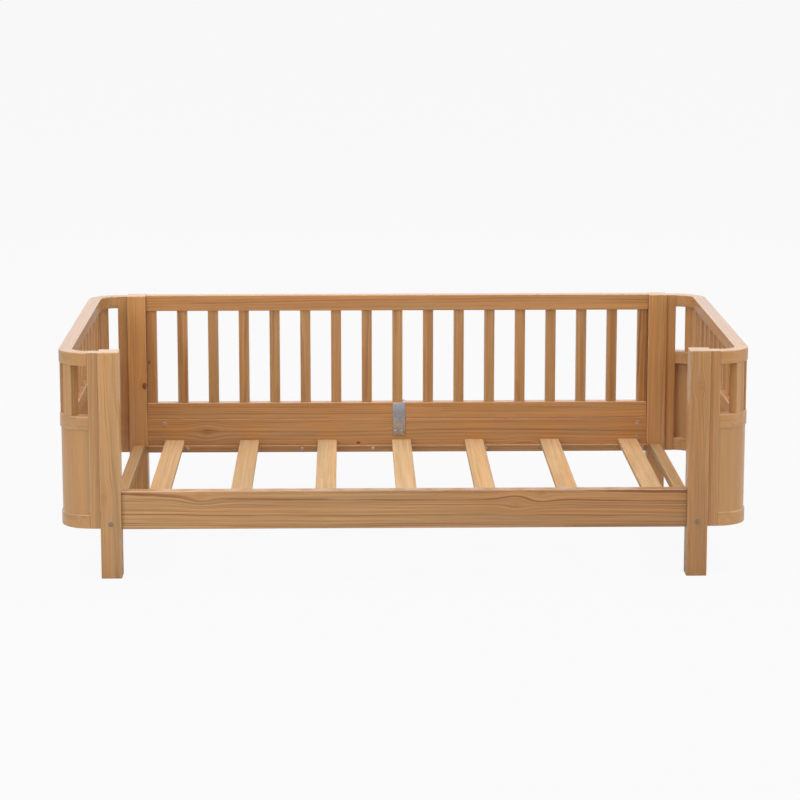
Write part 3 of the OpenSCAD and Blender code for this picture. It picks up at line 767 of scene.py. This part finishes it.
# Bolts through the posts into the battens: low round heads with a six-sided key socket.
boltFit = {"headRadius": 0.0055, "headHigh": 0.0015, "headDeep": 0.0025, "rim": 0.0007, "crown": 0.0001,
           "recessDeep": 0.002, "shankRadius": 0.003, "shankLong": 0.0865, "turns": 48, "key": 0.004}
low, high = corners("batten_bolts")
boltX, boltZ = high[0] - boltFit["headRadius"], (low[2] + high[2]) / 2
bolts = [fastener((side * boltX, row * (high[1] - boltFit["headHigh"]), boltZ), (0, row, 0), boltFit,
                  lambda angle: hexagon(angle, boltFit["key"])) for side in (-1, 1) for row in (-1, 1)]
finishPiece("batten_bolts", bolts, "zinc_steel", boltZinc)

# Lock barrels in the rails' inner faces, flush, with a slot for a screwdriver.
barrelFit = {"headRadius": 0.006, "headHigh": 0.0003, "headDeep": 0.012, "rim": 0.0006, "crown": 0.0,
             "recessDeep": 0.002, "shankRadius": 0.006, "shankLong": 0.019, "turns": 48,
             "slot": (0.008, 0.0018), "slotTurn": math.pi / 5}
low, high = corners("lock_barrels")
railInner = corners("back_rail")[0][1]
barrels = [fastener((x, row * railInner, z), (0, -row, 0), barrelFit,
                    lambda angle: slotted(angle + barrelFit["slotTurn"], *barrelFit["slot"]))
           for x in (low[0] + barrelFit["headRadius"], high[0] - barrelFit["headRadius"])
           for z in (low[2] + barrelFit["headRadius"], high[2] - barrelFit["headRadius"]) for row in (-1, 1)]
finishPiece("lock_barrels", barrels, "zinc_steel", warmZinc)

# Screws with domed heads and a cross recess. Ledger screws are placed by slat, and the way from it.
screwFit = {"headRadius": 0.0045, "headHigh": 0.0025, "headDeep": 0.0, "rim": 0.0014, "crown": 0.0003,
            "recessDeep": 0.0014, "shankRadius": 0.002, "shankLong": 0.035, "turns": 40,
            "cross": (0.0048, 0.0011), "crossTurn": math.pi / 9}
ledgerPlaces = ((0, 0.033), (2, -0.065), (3, -0.073), (4, 0.031), (6, 0.038))


def screwCross(angle):
    return crossed(angle + screwFit["crossTurn"], *screwFit["cross"])


slatMiddles = [sum(corners(f"slat_{number + 1}"))[0] / 2 for number in range(slatCount)]
ledgerLow, ledgerHigh = corners("back_ledger")
ledgerZ = (ledgerLow[2] + ledgerHigh[2]) / 2
screws = [fastener((slatMiddles[slat] + offset, row * ledgerLow[1], ledgerZ), (0, -row, 0), screwFit,
                   screwCross) for slat, offset in ledgerPlaces for row in (-1, 1)]
finishPiece("ledger_screws", screws, "zinc_steel", warmZinc)

# Sunk screws come up through the ledgers, one into each end of a slat.
sunkFit = {**screwFit, "headHigh": 0.0, "headDeep": 0.0025, "shankLong": 0.028}
ledgerY = (ledgerLow[1] + ledgerHigh[1]) / 2
screws = [fastener((x, row * ledgerY, ledgerLow[2]), (0, 0, -1), sunkFit, screwCross)
          for x in slatMiddles for row in (-1, 1)]
finishPiece("slat_screws", screws, "zinc_steel", zinc)

# Two shorter screws hold the bracket.
plateFit = {**screwFit, "shankLong": 0.017}
low, high = corners("bracket_screws")
plateFace = low[1] + plateFit["headHigh"]
screws = [fastener((x, plateFace, (low[2] + high[2]) / 2), (0, -1, 0), plateFit, screwCross)
          for x in (low[0] + plateFit["headRadius"], high[0] - plateFit["headRadius"])]
finishPiece("bracket_screws", screws, "zinc_steel", zinc)

# Bracket: a plate on the back rail, whose narrow tab is bent over the guard's rail and down behind.
bracket = {"thick": 0.0025, "tabWide": 0.0065, "bendRadius": 0.003, "edgeRound": 0.0005, "overlap": 0.006,
           "plateBelow": 0.0008, "endStep": 0.0006, "tabRuns": 0.84, "tabDown": 0.012, "tabThinner": 0.0001}


# A flat strip bent in one plane: a thin rounded section carried along straight runs and arcs.
def bentStrip(run, middleX, width, thick):
    run = np.array(run)
    tangent = np.gradient(run, axis=0)
    tangent /= np.linalg.norm(tangent, axis=1)[:, None]
    inset = np.zeros(len(run))
    inset[[0, -1]] = bracket["edgeRound"]
    across, deep, _ = section(width, thick, bracket["edgeRound"], inset)
    normal = np.stack([0 * run[:, 0], -tangent[:, 1], tangent[:, 0]], axis=-1)
    line = np.stack([0 * run[:, 0] + middleX, run[:, 0], run[:, 1]], axis=-1)
    points = line[:, None] + across[..., None] * np.array([1.0, 0, 0]) + deep[..., None] * normal[:, None]
    return closedShell(points)


def bracketShells():
    low, high = corners("guard_bracket")
    thick, turn, step = bracket["thick"], bracket["bendRadius"], bracket["endStep"]
    half = thick / 2
    front, back, top = low[1] + half, high[1] - half, high[2] - half
    arc = np.linspace(0, quarter, 7)
    plateTop = top - turn - bracket["plateBelow"]
    plate = bentStrip([(front, low[2]), (front, low[2] + step), (front, plateTop - step), (front, plateTop)],
                      (low[0] + high[0]) / 2, high[0] - low[0], thick)
    run = [(front, plateTop - bracket["overlap"]), (front, plateTop)]
    run += [(front + turn * (1 - math.cos(a)), top - turn * (1 - math.sin(a))) for a in arc]
    run += [(back - turn * (1 - math.sin(a)), top - turn * (1 - math.cos(a))) for a in arc]
    run += [(back, low[2] + (high[2] - low[2]) * bracket["tabRuns"]),
            (back, corners("guard_bottom_rail")[1][2] - bracket["tabDown"])]
    tabWide, thinner = bracket["tabWide"], bracket["tabThinner"]
    return [plate, bentStrip(run, high[0] - tabWide / 2, tabWide - thinner, thick - thinner)]


finishPiece("guard_bracket", bracketShells(), "zinc_steel", zinc)

# Hidden fittings keep their own shapes.
for node, material in {"joint_pins": darkZinc, "batten_nuts": darkZinc, "guard_dowels": beech}.items():
    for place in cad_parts[node].material_slots:
        place.material = material
print("hardware made")

# Stage: a pale seamless floor, soft light all round with a bright wall behind, a large light above,
# and weaker ones in front on the left and right and beside the right end. The camera sees the floor
# nearly evenly white, with a trace of shadow.
stage = {
    "white": (0.978, 0.976, 0.980, 1), "floor": (0.52, 0.52, 0.52, 1), "floorHalf": 60.0, "shadow": 0.05,
    "sky": (1.0, 1.0, 1.0, 1), "horizon": (0.52, 0.52, 0.54, 1), "wall": (2.35, 2.35, 2.45, 1),
    "skyStrength": 0.50,
    "lights": {"overhead": ((0.0, -0.4, 6.5), (0, 0, 0.2), 7.0, 400, (1, 0.99, 0.98)),
               "leftFront": ((-2.9, -3.4, 2.0), (-0.4, 0, 0.3), 2.0, 54, (1, 1, 1)),
               "rightFront": ((4.0, -3.4, 2.2), (0.5, 0, 0.3), 2.5, 18, (1, 0.7, 0.42)),
               "rightSide": ((5.0, -1.4, 1.3), (0.7, -0.2, 0.3), 2.0, 46, (1, 0.94, 0.86))},
}


def makeFloor():
    half = stage["floorHalf"]
    mesh = bpy.data.meshes.new("floor")
    square = [(-half, -half, 0), (half, -half, 0), (half, half, 0), (-half, half, 0)]
    mesh.from_pydata(square, [], [(0, 1, 2, 3)])
    floor = bpy.data.objects.new("floor", mesh)
    bpy.context.scene.collection.objects.link(floor)
    material, tree, shader = newMaterial("paleFloor")
    shader.inputs["Base Color"].default_value = stage["floor"]
    shader.inputs["Roughness"].default_value = 1.0
    shader.inputs["Specular IOR Level"].default_value = 0.0
    glow = put(tree, "ShaderNodeEmission", {"Color": stage["white"]})
    seen = put(tree, "ShaderNodeLightPath").outputs["Is Camera Ray"]
    share = times(tree, seen, 1 - stage["shadow"])
    mix = put(tree, "ShaderNodeMixShader", {0: share, 1: shader.outputs[0], 2: glow.outputs[0]})
    tree.links.new(mix.outputs[0], tree.nodes["Material Output"].inputs["Surface"])
    mesh.materials.append(material)


def makeSky():
    world = bpy.data.worlds.new("studio")
    bpy.context.scene.world = world
    world.use_nodes = True
    tree = world.node_tree
    background = tree.nodes["Background"]
    way = put(tree, "ShaderNodeTexCoord").outputs["Generated"]
    toward = split(tree, way)
    glow = blend(tree, spread(tree, toward[2], 0.0, 0.9, 0.0, 1.0), stage["horizon"], stage["sky"])
    behind = spread(tree, toward[1], 0.3, 0.9, 0.0, 1.0)
    behind = times(tree, behind, spread(tree, toward[2], 0.1, 0.6, 1.0, 0.0))
    tree.links.new(blend(tree, behind, glow, stage["wall"]), background.inputs["Color"])
    background.inputs["Strength"].default_value = stage["skyStrength"]
    plain = put(tree, "ShaderNodeBackground", {"Color": stage["white"], "Strength": 1.0})
    seen = put(tree, "ShaderNodeLightPath").outputs["Is Camera Ray"]
    mix = put(tree, "ShaderNodeMixShader", {0: seen, 1: background.outputs[0], 2: plain.outputs[0]})
    tree.links.new(mix.outputs[0], tree.nodes["World Output"].inputs["Surface"])


def makeLights():
    for name, (place, target, size, power, tint) in stage["lights"].items():
        lamp = bpy.data.lights.new(name, "AREA")
        lamp.shape, lamp.size, lamp.energy, lamp.color = "SQUARE", size, power, tint
        light = bpy.data.objects.new(name, lamp)
        light.location = place
        light.rotation_euler = (Vector(target) - Vector(place)).to_track_quat("-Z", "Y").to_euler()
        bpy.context.scene.collection.objects.link(light)


camera = {"place": (-0.1315, -6.4976, 1.5537), "tilt": 79.309, "turn": -1.144, "lens": 122.95,
          "sensor": 36.0, "farthest": 200}


def makeCamera():
    lens = bpy.data.cameras.new("camera")
    lens.sensor_width, lens.lens = camera["sensor"], camera["lens"]
    lens.clip_end = camera["farthest"]
    view = bpy.data.objects.new("camera", lens)
    view.location = camera["place"]
    view.rotation_euler = (math.radians(camera["tilt"]), 0, math.radians(camera["turn"]))
    bpy.context.scene.collection.objects.link(view)
    bpy.context.scene.camera = view


makeFloor()
makeSky()
makeLights()
makeCamera()
bpy.context.scene.view_settings.view_transform = "Standard"
print("stage set")
